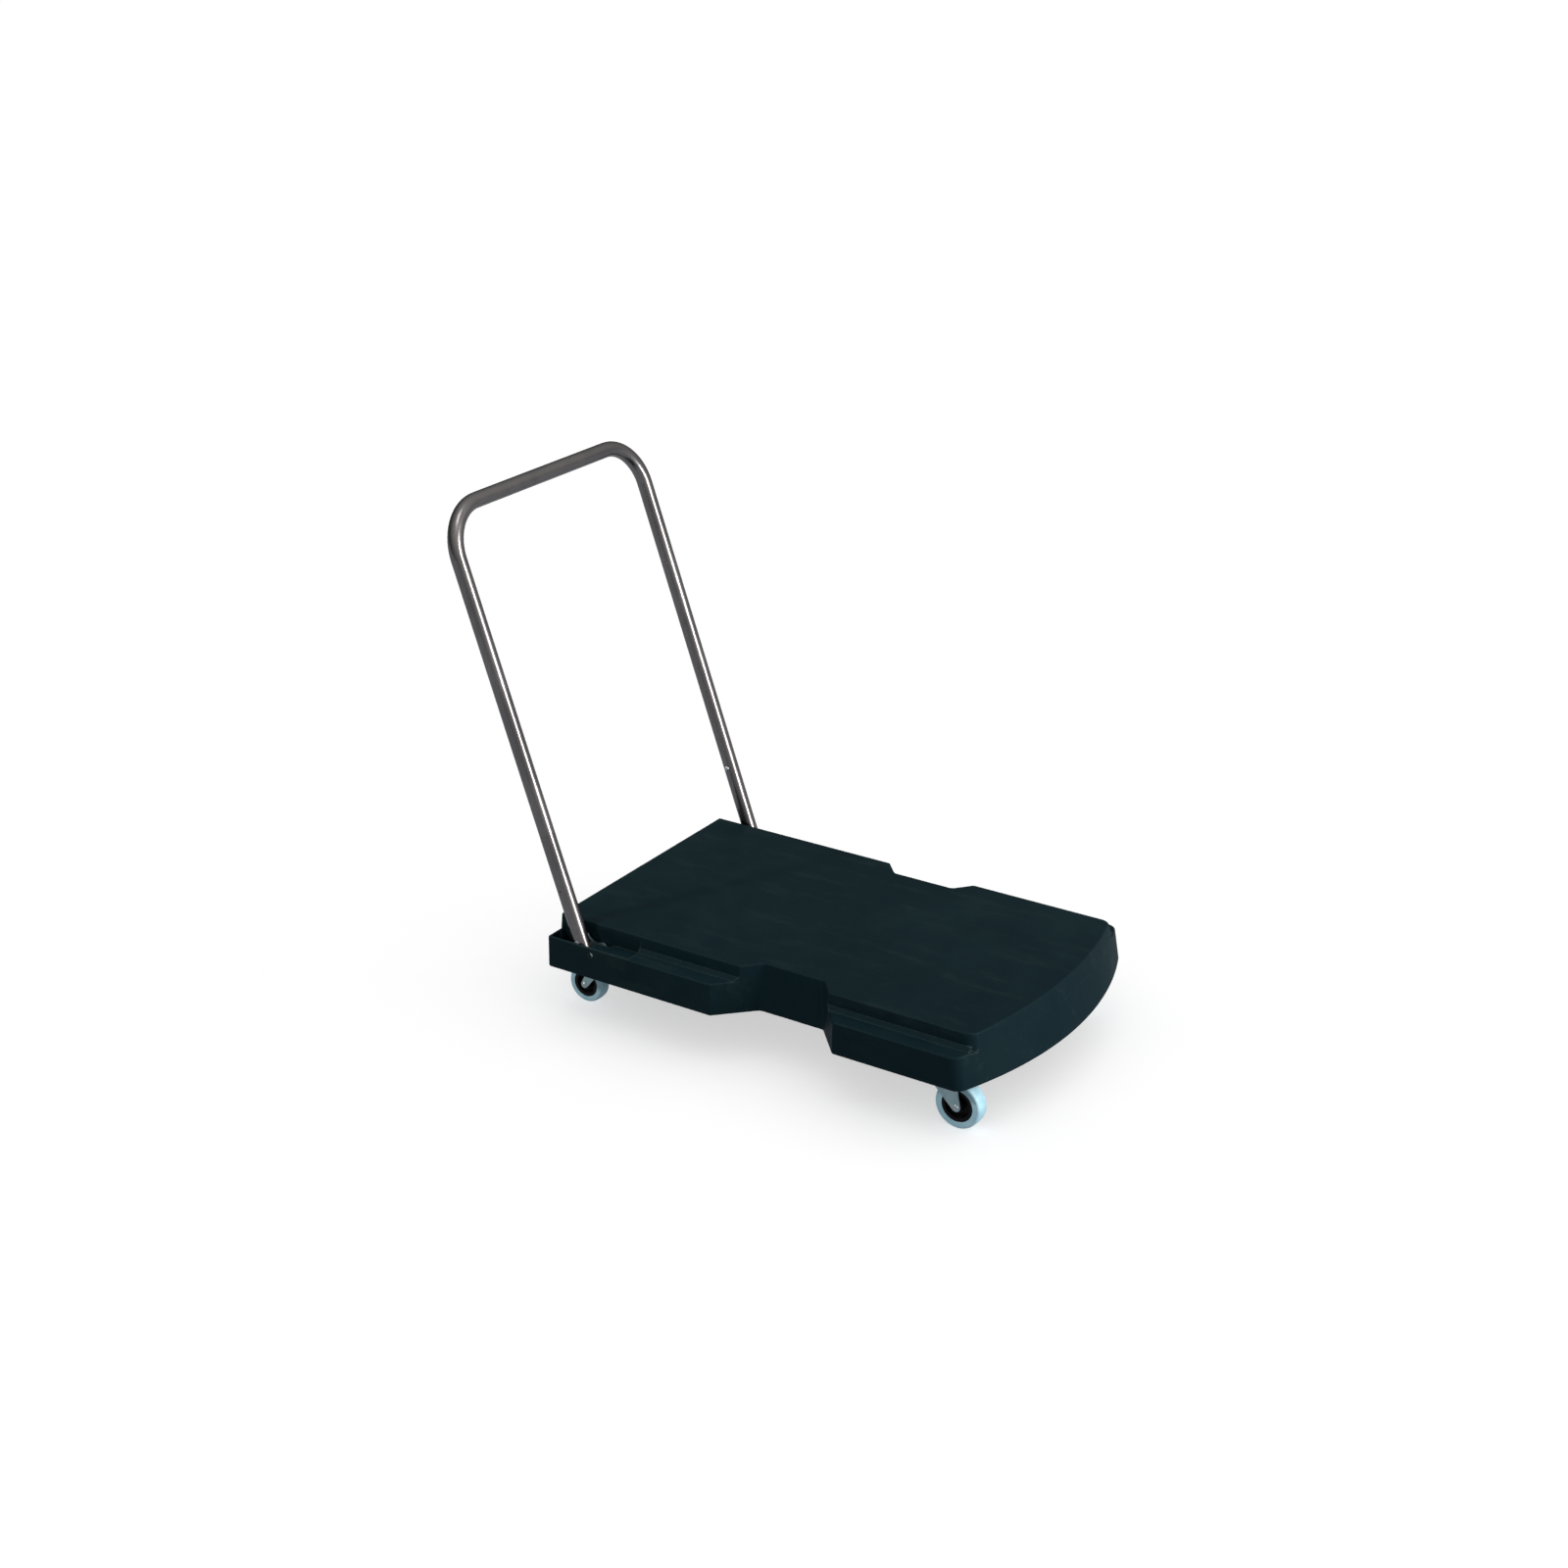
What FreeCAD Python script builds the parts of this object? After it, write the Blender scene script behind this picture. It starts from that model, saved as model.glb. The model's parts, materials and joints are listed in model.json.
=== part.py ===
import FreeCAD, Part
import math
import os

# Platform trolley: a moulded plastic platform on four small casters, with a
# steel tube handle that folds forward and lies along the side ledges.
#
# Everything is drawn in millimetres in the platform's own frame:
#   x runs forward from the rear face, y to the left, z up from the bottom edge
#   of the side walls.  put() moves each piece to the shared frame, whose origin
#   is on the floor under the middle of the whole trolley.

V = FreeCAD.Vector

# ---- platform moulding ------------------------------------------------------
BODY_HALF_WIDTH = 260.5        # outer side wall at ledge height
BODY_SIDE_DRAFT = 1.5          # extra half width at the bottom edge
LEDGE_HEIGHT = 56.0            # top of the side ledges
DECK_HEIGHT = 81.0             # top of the load deck
DECK_HALF_WIDTH = 223.5        # load deck at its top edge
DECK_SIDE_DRAFT = 3.5          # extra half width where the deck meets the ledge
BODY_BOTTOM = 2.0              # lowest point of the side walls
BOTTOM_EDGE_ROUND = 3.5
FOOT_CHAMFER = 6.0             # sloping strip along the foot of the deck wall
NOSE_X = 807.0                 # middle of the bowed nose at the bottom edge
NOSE_RADIUS = 660.0            # plan radius of the nose at the bottom edge
NOSE_TOP_X = 781.0             # the same two at deck height
NOSE_TOP_RADIUS = 850.0
NOSE_CORNER = 20.0             # plan rounding of the front corners
DECK_NOSE_CORNER = 20.0
NOSE_RAMP_X = 750.0            # the ledges dip forward from here to the nose
NOSE_RAMP_SLOPE = 0.45
NOSE_RAMP_INNER_Y = 218.5      # clear of the flat of the nose, inside the deck corner
DECK_ROOT = 40.0               # the deck block reaches down to here
DECK_INSET = 0.02              # and stands this far inside the nose and the notches
REAR_CORNER = 3.0
DECK_REAR_CORNER = 3.0
DECK_EDGE_ROUND = 2.5
LEDGE_EDGE_ROUND = 2.5
WALL = 5.0                     # moulding wall thickness
RIM_WALL = 2.5                 # thinner outer wall beside the handle wells

# grip notches in the middle of both sides, full height, with slanting ends;
# each plan runs rear inner, front inner, front outer, rear outer
NOTCH_TOP_PLAN = [(370.0, 194.5), (478.0, 194.5), (568.0, 300.0), (274.5, 300.0)]
NOTCH_LOW_PLAN = [(368.0, 207.0), (483.0, 207.0), (568.0, 300.0), (274.5, 300.0)]
NOTCH_END_SLANT = 45.0         # slant of the notch ends, used to grow the notch
NOTCH_INNER_CORNER = 12.0
NOTCH_OUTER_CORNER = 6.0

# ribs under the deck
RIB = 4.0
RIB_BOTTOM = 14.0
RIB_LONG_SPACING = 74.0
RIB_LONG_COUNT = 5
RIB_CROSS_FIRST = 126.0
RIB_CROSS_SPACING = 98.0
RIB_CROSS_COUNT = 6

# ---- handle -----------------------------------------------------------------
TUBE_RADIUS = 12.7
LEG_WALL = 1.5
BOW_WALL = 2.0
LEG_Y = 243.5                  # half the distance between the leg axes
LEAN = 19.5                    # degrees the upright handle leans back
PIVOT_X = 84.5
PIVOT_Z = 44.0
PIVOT_OFFSET = 25.0            # leg axis behind the pivot pin
GRIP_REACH = 728.0             # pivot to crossbar axis, along the leg
BEND_RADIUS = 76.0
LEG_BOTTOM = -12.0             # lower end of the leg tube, along the leg
LEG_SEAM = 199.0               # joint between lower leg and bow
SEAM_GAP = 0.3
SOCKET_DEPTH = 77.0            # reduced end of the bow inside the lower leg
SOCKET_PLAY = 0.1
SOCKET_WALL = 1.2
SOCKET_LAP = 4.0
BUTTON_AT = 146.0              # snap button, along the leg
BUTTON_RADIUS = 4.0
BUTTON_PLAY = 0.15
BUTTON_PROUD = 3.0
BUTTON_CROWN = 1.5             # height of the rounded tip
BUTTON_SEAT_GAP = 0.1
BUTTON_HEAD_RADIUS = 5.5
BUTTON_HEAD = 1.5
BUTTON_TAIL_RADIUS = 2.0
BUTTON_TAIL = 5.0
SPRING_THICK = 0.8
SPRING_WIDTH = 9.0
SPRING_ABOVE = 8.0             # spring end above the button
SPRING_BELOW = 32.0            # start of the bend below the button
SPRING_FRONT = 2.2             # faces of the two arms, from the leg axis
SPRING_BACK = -8.7
SPRING_HOLE_PLAY = 0.3
DRAIN_HOLE_AT = 108.0
DRAIN_HOLE_RADIUS = 1.3

# flat steel plate that carries each leg on its pivot pin
PLATE_THICK = 3.0
PLATE_TOP = 27.0               # upper end of the plate, along the leg
PLATE_LUG = 9.0                # rounding of the plate about the pin
PLATE_FRONT = -20.0            # edges of the plate beside the leg, across it
PLATE_REAR = -34.0
PLATE_NECK = (13.0, -13.5)     # deepest point of the hollow front edge
PLATE_CORNER = 4.0
RIVET_RADIUS = 2.5
RIVET_HEAD_RADIUS = 4.6
RIVET_HEAD = 1.1
RIVET_AT = (2.0, 20.0)
PIN_RADIUS = 4.0
PIN_PLAY = 0.06
PIN_HOLE_PLAY = 0.03
PIN_RECESS = 2.5
PIN_TAIL = 6.5                 # pin end beyond the inner face of the well block
PIN_CHAMFER = 0.5
CLIP_RADIUS = 6.5
CLIP_THICK = 0.8
CLIP_RISE = 1.2
CLIP_PLAY = 0.02

# wells in the rear corners that take the legs
WELL_REAR = 4.5
WELL_FRONT = 77.0
WELL_INNER_Y = 224.5
SLOT_OUTER_Y = 232.5           # narrow slot beside the tongue, for the plate
SLOT_FRONT = 104.0
SLOT_FLOOR = 27.0
TONGUE_CORNER = 7.0
RECESS_FLOOR = 51.0            # lowered ledge just ahead of the well
RECESS_FRONT = 156.0
SEAT_GAP = 0.1                 # leg end to the sloping seat it leans against
SEAT_BACK = -45.0              # rear end of the seat, across the leg
WELL_BLOCK_FRONT = 112.0
RECESS_BLOCK_FRONT = 161.0
RECESS_SKIN = 5.0
WELL_BLOCK_BOTTOM = 12.0
WELL_BLOCK_INNER_Y = 219.5

# ---- casters ----------------------------------------------------------------
# All four swivel.  The front pair has the larger wheels.  At rest the right
# front wheel stands ahead of its kingpin and the other three behind theirs.
FLOOR_DROP = 81.2              # floor below the reference plane of the platform
PAD_Z = 12.0                   # caster mounting plane on the platform
PAD_THICK = 8.0
PAD_MARGIN = 5.0
SWIVEL_OFFSET = 25.0           # kingpin to axle
WHEEL_AHEAD = 0.0              # turn of a caster about its kingpin, in degrees
WHEEL_BEHIND = 180.0

FRONT_AXLE_X = 728.5           # with the wheel ahead
FRONT_WHEEL_Y = 212.5
FRONT_WHEEL_RADIUS = 38.0
FRONT_WHEEL_WIDTH = 25.0
FRONT_FORK_END = 7.5           # rounding of the fork leg about the axle
FRONT_FORK_TOP = (-58.0, -2.0)  # reach of the fork leg at its top, from the axle
REAR_AXLE_X = 26.0             # with the wheel behind
REAR_WHEEL_Y = 189.5
REAR_WHEEL_RADIUS = 32.5
REAR_WHEEL_WIDTH = 22.0
REAR_FORK_END = 6.0
REAR_FORK_TOP = (-52.0, -20.0)

CORE_SHARE = 0.69              # core radius over wheel radius
TYRE_CROWN = 0.9
TYRE_SHOULDER = 4.0
TYRE_BULGE = 0.4
CORE_KEY = 1.5                 # rib on the core that keys the tyre
CORE_KEY_HALF = 5.0
CORE_WEB_HALF = 3.0
CORE_RIM = 5.5                 # thickness of the core's rim
CORE_SETBACK = 0.7             # core face inside the tyre face
HUB_RADIUS = 9.0
HUB_PROUD = 0.7
BUSH_RADIUS = 5.0
BUSH_PLAY = 0.03
AXLE_RADIUS = 3.0
AXLE_PLAY = 0.06
AXLE_HOLE_PLAY = 0.03
AXLE_HEAD_RADIUS = 4.4
AXLE_HEAD = 1.8
FORK_SIDE_GAP = 1.5            # tyre to fork leg
FORK_THICK = 2.5

PLATE_HALF_LENGTH = 28.0
PLATE_HALF_WIDTH = 30.0
MOUNT_THICK = 3.0
MOUNT_CORNER = 4.0
SCREW_X = 21.0
SCREW_Y = 23.5
SCREW_RADIUS = 3.0
SCREW_PLAY = 0.1
SCREW_HOLE_PLAY = 0.3
SCREW_LENGTH = 20.0            # under the head
SCREW_TIP_GAP = 2.0
SCREW_HEAD_FLATS = 10.0
SCREW_HEAD = 4.0
SCREW_BOSS = 7.0
SCREW_BOSS_HEIGHT = 24.0

BALL_RADIUS = 2.5
BALL_PLAY = 0.05
BALL_CIRCLE = 17.0
BALL_COUNT = 16
CROWN_GAP = 4.4                # mounting plate to fork crown
CROWN_RADIUS = 25.0
KINGPIN_RADIUS = 5.0
KINGPIN_PLAY = 0.06
KINGPIN_HEAD_RADIUS = 9.0
KINGPIN_HEAD = 3.0
WASHER_RADIUS = 11.0
WASHER_THICK = 1.5

OVERRUN = 20.0                 # how far cutting shapes run past what they cut

# ---- shared frame -----------------------------------------------------------
LEAN_RAD = math.radians(LEAN)
ALONG = V(-math.sin(LEAN_RAD), 0, math.cos(LEAN_RAD))
ACROSS = V(math.cos(LEAN_RAD), 0, math.sin(LEAN_RAD))
PIVOT = V(PIVOT_X, 0, PIVOT_Z)
GRIP = PIVOT + ALONG * GRIP_REACH - ACROSS * PIVOT_OFFSET
REARMOST = GRIP.x - TUBE_RADIUS
NOSE_LEAN = (NOSE_TOP_X - NOSE_X) / DECK_HEIGHT
# the rounded bottom edge of the leaning nose is the foremost line of the platform
EDGE_CENTRE_X = NOSE_X + NOSE_LEAN * (BODY_BOTTOM + BOTTOM_EDGE_ROUND)
FOREMOST = EDGE_CENTRE_X + BOTTOM_EDGE_ROUND * (1 - math.hypot(1, NOSE_LEAN))
SHIFT = V(-(FOREMOST + REARMOST) / 2.0, 0, FLOOR_DROP)


# ---- small drawing helpers --------------------------------------------------
def box(x0, x1, y0, y1, z0, z1):
    return Part.makeBox(x1 - x0, y1 - y0, z1 - z0, V(x0, y0, z0))


def prism(points, direction):
    wire = Part.makePolygon(points + [points[0]])
    return Part.Face(wire).extrude(direction)


def prism_xz(points, y0, y1):
    return prism([V(x, y0, z) for x, z in points], V(0, y1 - y0, 0))


def prism_yz(points, x0, x1):
    return prism([V(x0, y, z) for y, z in points], V(x1 - x0, 0, 0))


def prism_xy(points, z0, z1):
    return prism([V(x, y, z0) for x, y in points], V(0, 0, z1 - z0))


def rod(radius, start, end):
    axis = end - start
    return Part.makeCylinder(radius, axis.Length, start, axis)


def lathe(points, base, axis):
    """Solid of revolution from (radius, height) points about axis at base."""
    wire = Part.makePolygon([V(r, 0, h) for r, h in points + [points[0]]])
    solid = Part.Face(wire).revolve(V(0, 0, 0), V(0, 0, 1), 360)
    turn = FreeCAD.Rotation(V(0, 0, 1), axis)
    solid.Placement = FreeCAD.Placement(base, turn)
    return solid


def mirror_y(shape):
    return shape.mirror(V(0, 0, 0), V(0, 1, 0))


def both_sides(shape):
    return [shape, mirror_y(shape)]


def edges_where(shape, test):
    return [edge for edge in shape.Edges if test(edge)]


def is_upright(edge):
    first = edge.firstVertex().Point
    last = edge.lastVertex().Point
    rise = abs(first.z - last.z)
    return rise > 5.0 and rise > 0.7 * (first - last).Length


def upright_edges(shape, near):
    """Standing edges whose middle lies where near(x, y) is true."""
    found = []
    for edge in shape.Edges:
        if is_upright(edge):
            middle = (edge.firstVertex().Point + edge.lastVertex().Point) * 0.5
            if near(middle.x, abs(middle.y)):
                found.append(edge)
    return found


def flat_edges(shape, height):
    """Edges that lie in the level plane at the given height."""
    def level(edge):
        return all(abs(v.Point.z - height) < 0.01 for v in edge.Vertexes)
    return edges_where(shape, level)


# ---- platform ---------------------------------------------------------------
def arc_plan(tip, radius, height):
    """Plan with a bowed front edge, running back well past the rear face."""
    reach = BODY_HALF_WIDTH + 2 * OVERRUN
    back = -OVERRUN
    edge = tip - radius + math.sqrt(radius * radius - reach * reach)
    corners = [V(edge, reach, height), V(back, reach, height)]
    corners = corners + [V(back, -reach, height), V(edge, -reach, height)]
    bow = Part.Arc(corners[3], V(tip, 0, height), corners[0]).toShape()
    return Part.Wire([bow] + Part.makePolygon(corners).Edges)


def nose_tool(inset):
    """Everything behind the nose face, which leans back and flattens upwards."""
    flatten = (NOSE_TOP_RADIUS - NOSE_RADIUS) / DECK_HEIGHT
    plans = []
    for height in (-OVERRUN, DECK_HEIGHT + OVERRUN):
        tip = NOSE_X + NOSE_LEAN * height - inset
        plans.append(arc_plan(tip, NOSE_RADIUS + flatten * height, height))
    return Part.makeLoft(plans, True, True)


def notch_tool(margin):
    """Left grip notch, grown by margin.  Its floor leans out towards the bottom."""
    grow = margin * math.tan(math.radians(NOTCH_END_SLANT / 2))
    shift = [(-grow, -margin), (grow, -margin), (grow + margin, 0), (-grow - margin, 0)]
    plans = []
    for plan, height in ((NOTCH_LOW_PLAN, 0.0), (NOTCH_TOP_PLAN, DECK_HEIGHT)):
        plans.append([V(p[0] + d[0], p[1] + d[1], height) for p, d in zip(plan, shift)])
    rise = OVERRUN / DECK_HEIGHT
    low = [a - (b - a) * rise for a, b in zip(*plans)]
    high = [b + (b - a) * rise for a, b in zip(*plans)]
    loops = [Part.makePolygon(points + [points[0]]) for points in (low, high)]
    return Part.makeLoft(loops, True, True)


def round_plan_corners(solid, nose, rear):
    """Rounds the standing edges of a platform block."""
    solid = solid.makeFillet(nose, upright_edges(solid, lambda x, y: x > 700))
    solid = solid.makeFillet(rear, upright_edges(solid, lambda x, y: x < 1))
    inner = upright_edges(solid, lambda x, y: 200 < x < 600 and y < 215)
    solid = solid.makeFillet(NOTCH_INNER_CORNER, inner)
    outer = upright_edges(solid, lambda x, y: 200 < x < 600 and y > 215)
    return solid.makeFillet(NOTCH_OUTER_CORNER, outer)


def nose_ramp():
    """Wedge above the sloping front end of the left ledge."""
    run = 4 * OVERRUN
    level = LEDGE_HEIGHT + OVERRUN
    corners = [(NOSE_RAMP_X, LEDGE_HEIGHT), (NOSE_RAMP_X, level), (NOSE_RAMP_X + run, level)]
    corners = corners + [(NOSE_RAMP_X + run, LEDGE_HEIGHT - run * NOSE_RAMP_SLOPE)]
    return prism_xz(corners, NOSE_RAMP_INNER_Y, BODY_HALF_WIDTH + OVERRUN)


def ledge_edges(solid):
    """Outer edges of the ledges and of the notch at ledge height."""
    def outer(edge):
        middle = (edge.firstVertex().Point + edge.lastVertex().Point) * 0.5
        crosswise = abs(edge.firstVertex().Point.x - edge.lastVertex().Point.x) < 0.01
        return middle.x < NOSE_RAMP_X - 1 and not (crosswise and middle.x > 600)
    return [edge for edge in flat_edges(solid, LEDGE_HEIGHT) if outer(edge)]


def lower_body():
    half = BODY_HALF_WIDTH
    low = half + BODY_SIDE_DRAFT
    base = BODY_BOTTOM
    section = [(-low, base), (low, base), (half, LEDGE_HEIGHT), (-half, LEDGE_HEIGHT)]
    solid = prism_yz(section, 0, NOSE_X + OVERRUN)
    solid = solid.common(nose_tool(0))
    for tool in both_sides(notch_tool(0)):
        solid = solid.cut(tool)
    solid = round_plan_corners(solid, NOSE_CORNER, REAR_CORNER)
    solid = solid.makeFillet(BOTTOM_EDGE_ROUND, flat_edges(solid, base))
    for tool in both_sides(nose_ramp()):
        solid = solid.cut(tool)
    return solid.makeFillet(LEDGE_EDGE_ROUND, ledge_edges(solid))


def deck_block():
    slope = DECK_SIDE_DRAFT / (DECK_HEIGHT - LEDGE_HEIGHT)
    top = DECK_HALF_WIDTH
    foot = top + slope * (DECK_HEIGHT - DECK_ROOT)
    section = [(-foot, DECK_ROOT), (foot, DECK_ROOT), (top, DECK_HEIGHT), (-top, DECK_HEIGHT)]
    solid = prism_yz(section, 0, NOSE_X + OVERRUN)
    solid = solid.common(nose_tool(DECK_INSET))
    for tool in both_sides(notch_tool(DECK_INSET)):
        solid = solid.cut(tool)
    solid = round_plan_corners(solid, DECK_NOSE_CORNER, DECK_REAR_CORNER)
    return solid.makeFillet(DECK_EDGE_ROUND, flat_edges(solid, DECK_HEIGHT))


def deck_foot_strip():
    """Sloping strip along the foot of the left deck wall, ahead of the recess."""
    foot = DECK_HALF_WIDTH + DECK_SIDE_DRAFT
    rise = FOOT_CHAMFER * DECK_SIDE_DRAFT / (DECK_HEIGHT - LEDGE_HEIGHT)
    low = LEDGE_HEIGHT - 1.0
    high = LEDGE_HEIGHT + FOOT_CHAMFER
    section = [(foot - WALL, low), (foot + FOOT_CHAMFER, low)]
    section = section + [(foot + FOOT_CHAMFER, LEDGE_HEIGHT), (foot - rise, high)]
    section = section + [(foot - WALL, high)]
    strip = prism_yz(section, RECESS_FRONT, NOSE_X)
    return strip.cut(notch_tool(0)).cut(nose_ramp())


def cavities():
    """Hollows under the deck and ledges, before ribs and blocks are left in."""
    inset = WALL + 1.0
    half = BODY_HALF_WIDTH - WALL
    low = half + BODY_SIDE_DRAFT
    roof = LEDGE_HEIGHT - WALL
    section = [(-low, -1), (low, -1), (half, roof), (-half, roof)]
    lower = prism_yz(section, WALL, NOSE_X).common(nose_tool(inset))
    front = upright_edges(lower, lambda x, y: x > 700)
    lower = lower.makeFillet(NOSE_CORNER - WALL, front)
    for tool in both_sides(nose_ramp()):
        tool.translate(V(-WALL, 0, -WALL))
        lower = lower.cut(tool)
    half = DECK_HALF_WIDTH - WALL
    roof = DECK_HEIGHT - WALL
    section = [(-half, DECK_ROOT), (half, DECK_ROOT), (half, roof), (-half, roof)]
    upper = prism_yz(section, WALL, NOSE_X).common(nose_tool(inset))
    front = upright_edges(upper, lambda x, y: x > 700)
    upper = upper.makeFillet(DECK_NOSE_CORNER - WALL, front)
    for tool in both_sides(notch_tool(WALL)):
        lower = lower.cut(tool)
        upper = upper.cut(tool)
    return [upper, lower]


def ribs():
    pieces = []
    for i in range(RIB_LONG_COUNT):
        y = (i - (RIB_LONG_COUNT - 1) / 2.0) * RIB_LONG_SPACING
        pieces.append(box(0, NOSE_X, y - RIB / 2, y + RIB / 2, RIB_BOTTOM, DECK_HEIGHT))
    for i in range(RIB_CROSS_COUNT):
        x = RIB_CROSS_FIRST + i * RIB_CROSS_SPACING
        side = BODY_HALF_WIDTH
        pieces.append(box(x - RIB / 2, x + RIB / 2, -side, side, RIB_BOTTOM, DECK_HEIGHT))
    return pieces


def screw_places(x, y):
    return [V(x + i * SCREW_X, y + j * SCREW_Y, PAD_Z) for i in (-1, 1) for j in (-1, 1)]


def caster_pad(x, y):
    """Pad with four screw bosses and two stiffening ribs above one caster."""
    half_x = PLATE_HALF_LENGTH + PAD_MARGIN
    half_y = PLATE_HALF_WIDTH + PAD_MARGIN
    pieces = [box(x - half_x, x + half_x, y - half_y, y + half_y, PAD_Z, PAD_Z + PAD_THICK)]
    for place in screw_places(x, y):
        pieces.append(rod(SCREW_BOSS, place, place + V(0, 0, SCREW_BOSS_HEIGHT)))
    web = RIB / 2
    pieces.append(box(x - half_x, x + half_x, y - web, y + web, PAD_Z, DECK_HEIGHT))
    pieces.append(box(x - web, x + web, y - half_y, y + half_y, PAD_Z, DECK_HEIGHT))
    return pieces


def well_block():
    """Solid corner that carries the left pivot pin and the leg seat."""
    inner = WELL_BLOCK_INNER_Y
    outer = BODY_HALF_WIDTH + BODY_SIDE_DRAFT
    block = box(0, WELL_BLOCK_FRONT, inner, outer, WELL_BLOCK_BOTTOM, DECK_HEIGHT)
    skin = RECESS_FLOOR - RECESS_SKIN
    cover = box(0, RECESS_BLOCK_FRONT, inner, outer, skin, DECK_HEIGHT)
    return [block, cover]


def well_tool():
    """Everything cut out of the left rear corner to take the leg."""
    outer = BODY_HALF_WIDTH - RIM_WALL
    inner = WELL_INNER_Y
    above = DECK_HEIGHT + OVERRUN
    r = TONGUE_CORNER
    centre = V(WELL_FRONT + r, SLOT_OUTER_Y + r, SLOT_FLOOR)
    tip = centre + V(-r, -r, 0) * math.sqrt(0.5)
    corner_a = V(WELL_FRONT, SLOT_OUTER_Y + r, SLOT_FLOOR)
    corner_b = V(WELL_FRONT + r, SLOT_OUTER_Y, SLOT_FLOOR)
    run = [V(SLOT_FRONT, SLOT_OUTER_Y, SLOT_FLOOR), V(SLOT_FRONT, inner, SLOT_FLOOR)]
    run = run + [V(WELL_REAR, inner, SLOT_FLOOR), V(WELL_REAR, outer, SLOT_FLOOR)]
    run = run + [V(WELL_FRONT, outer, SLOT_FLOOR)]
    edges = [Part.Arc(corner_a, tip, corner_b).toShape()]
    edges = edges + Part.makePolygon([corner_b] + run + [corner_a]).Edges
    plan = Part.Face(Part.Wire(edges))
    opening = plan.extrude(V(0, 0, above - SLOT_FLOOR))
    seat = LEG_BOTTOM - SEAT_GAP
    back = PIVOT + ALONG * seat + ACROSS * SEAT_BACK
    run_out = (WELL_FRONT - back.x) / ACROSS.x
    front = back + ACROSS * run_out
    profile = [(WELL_REAR, back.z), (back.x, back.z), (front.x, front.z)]
    profile = profile + [(WELL_FRONT, above), (WELL_REAR, above)]
    pocket = prism_xz(profile, inner, outer)
    recess = box(WELL_REAR, RECESS_FRONT, inner, outer, RECESS_FLOOR, above)
    near = V(PIVOT_X, WELL_BLOCK_INNER_Y - OVERRUN, PIVOT_Z)
    far = V(PIVOT_X, BODY_HALF_WIDTH + OVERRUN, PIVOT_Z)
    bore = rod(PIN_RADIUS + PIN_HOLE_PLAY, near, far)
    return opening.fuse([pocket, recess, bore])


def platform():
    keep = ribs()
    for x, y in CASTER_PLATES:
        keep = keep + caster_pad(x, y)
    for piece in well_block():
        keep = keep + both_sides(piece)
    upper, lower = [hollow.cut(keep) for hollow in cavities()]
    deck_shell = deck_block().cut(upper).cut(lower)
    lower_shell = lower_body().cut(lower).cut(upper)
    solid = deck_shell.fuse(lower_shell).fuse(both_sides(deck_foot_strip()))
    for tool in both_sides(well_tool()):
        solid = solid.cut(tool)
    for x, y in CASTER_PLATES:
        for place in screw_places(x, y):
            low = place - V(0, 0, OVERRUN)
            high = place + V(0, 0, SCREW_LENGTH - MOUNT_THICK + SCREW_TIP_GAP)
            solid = solid.cut(rod(SCREW_RADIUS + SCREW_PLAY, low, high))
    return solid.removeSplitter()


CASTER_PLATES = [
    (FRONT_AXLE_X - SWIVEL_OFFSET, FRONT_WHEEL_Y),
    (FRONT_AXLE_X - SWIVEL_OFFSET, -FRONT_WHEEL_Y),
    (REAR_AXLE_X + SWIVEL_OFFSET, REAR_WHEEL_Y),
    (REAR_AXLE_X + SWIVEL_OFFSET, -REAR_WHEEL_Y),
]


# ---- handle -----------------------------------------------------------------
# Handle pieces are drawn about the pivot pin with the leg upright: local x is
# across the leg, local z along it.  leaned() tips them to the resting lean.
def leaned(shape):
    turn = FreeCAD.Rotation(V(0, 1, 0), -LEAN)
    moved = shape.copy()
    moved.Placement = FreeCAD.Placement(PIVOT, turn).multiply(moved.Placement)
    return moved


def bow_path(start):
    """Centre line of the bow from one leg end, over the crossbar, to the other."""
    x = -PIVOT_OFFSET
    y = LEG_Y
    r = BEND_RADIUS
    top = GRIP_REACH
    dip = r * (1 - math.sqrt(0.5))
    left = V(x, y, top - r)
    right = V(x, -y, top - r)
    bar_left = V(x, y - r, top)
    bar_right = V(x, -y + r, top)
    edges = [
        Part.makeLine(V(x, y, start), left),
        Part.Arc(left, V(x, y - dip, top - dip), bar_left).toShape(),
        Part.makeLine(bar_left, bar_right),
        Part.Arc(bar_right, V(x, -y + dip, top - dip), right).toShape(),
        Part.makeLine(right, V(x, -y, start)),
    ]
    return Part.Wire(edges)


def pipe(path, radius, start):
    ring = Part.Wire([Part.makeCircle(radius, start, V(0, 0, 1))])
    return path.makePipeShell([ring], True, True)


def leg_hole(radius, along, side):
    """Cross hole through the inboard wall of one leg."""
    axis = V(-PIVOT_OFFSET, side * LEG_Y, along)
    return rod(radius, axis, axis - V(0, side * (TUBE_RADIUS + OVERRUN), 0))


def handle_bow():
    start = LEG_SEAM + SEAM_GAP
    path = bow_path(start)
    first = V(-PIVOT_OFFSET, LEG_Y, start)
    bow = pipe(path, TUBE_RADIUS, first)
    bow = bow.cut(pipe(path, TUBE_RADIUS - BOW_WALL, first))
    outer = TUBE_RADIUS - LEG_WALL - SOCKET_PLAY
    inner = outer - SOCKET_WALL
    for side in (-1, 1):
        low = V(-PIVOT_OFFSET, side * LEG_Y, LEG_SEAM - SOCKET_DEPTH)
        high = V(-PIVOT_OFFSET, side * LEG_Y, start + SOCKET_LAP)
        end = rod(outer, low, high).cut(rod(inner, low, high))
        bow = bow.fuse(end)
        bow = bow.cut(leg_hole(BUTTON_RADIUS + BUTTON_PLAY, BUTTON_AT, side))
    return leaned(bow)


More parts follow.
